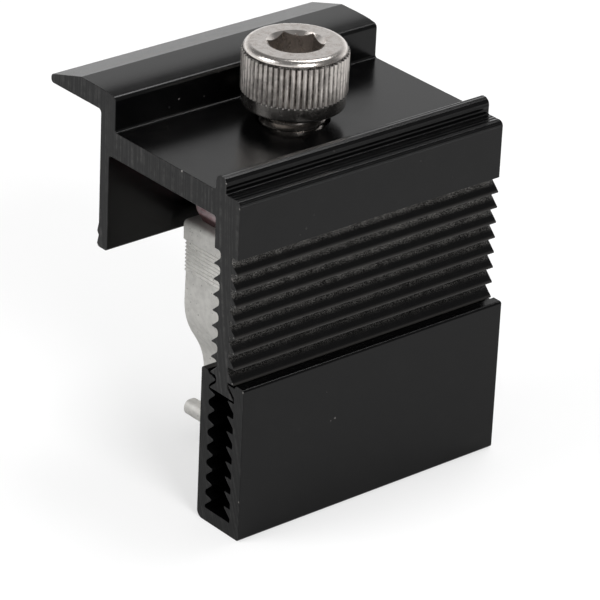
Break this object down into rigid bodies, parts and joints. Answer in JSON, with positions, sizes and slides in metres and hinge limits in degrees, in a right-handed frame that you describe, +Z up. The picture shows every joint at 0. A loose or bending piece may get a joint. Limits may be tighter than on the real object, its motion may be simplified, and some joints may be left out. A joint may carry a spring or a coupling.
{
  "type": "solar end clamp",
  "caption": "Adjustable end clamp for framed solar modules: lipped top on a toothed leg, toothed foot, socket head screw, hooked rail nut and soft pad.",
  "frame": {"origin": "centre of the flat underside of the height foot, where it stands on the rail", "axes": "+Z up away from the rail along the screw, +X out of the smooth front panel away from the module, +Y along both extrusions"},
  "size_m": [0.0377, 0.04, 0.0528],
  "materials": {
    "black_anodised": "satin black anodised extrusion with saw-cut ends",
    "stainless": "bright cold-formed stainless steel, knurled head",
    "mill_aluminium": "plain mill-finish extrusion with sawn ends",
    "soft_pad": "translucent pinkish soft plastic"
  },
  "bodies": {
    "clamp": {"clamp_top": "black_anodised"},
    "foot": {"height_foot": "black_anodised"},
    "screw": {"clamp_screw": "stainless"},
    "nut": {"rail_nut": "mill_aluminium", "spacer_pad": "soft_pad"}
  },
  "joints": [
    {"name": "foot_slide", "type": "slide", "parent": "clamp", "child": "foot", "axis": [0, 1, 0], "range_m": [-0.04, 0.04]},
    {"name": "screw_turn", "type": "hinge", "parent": "clamp", "child": "screw", "pos_m": [-0.013, 0, 0], "axis": [0, 0, 1], "range_deg": [0, 4608]},
    {"name": "nut_travel", "type": "slide", "parent": "clamp", "child": "nut", "axis": [0, 0, 1], "range_m": [-0.016, 0]}
  ],
  "couplings": [
    {"joint": "nut_travel", "follows": "screw_turn", "m_per_rad": -0.00019894}
  ]
}
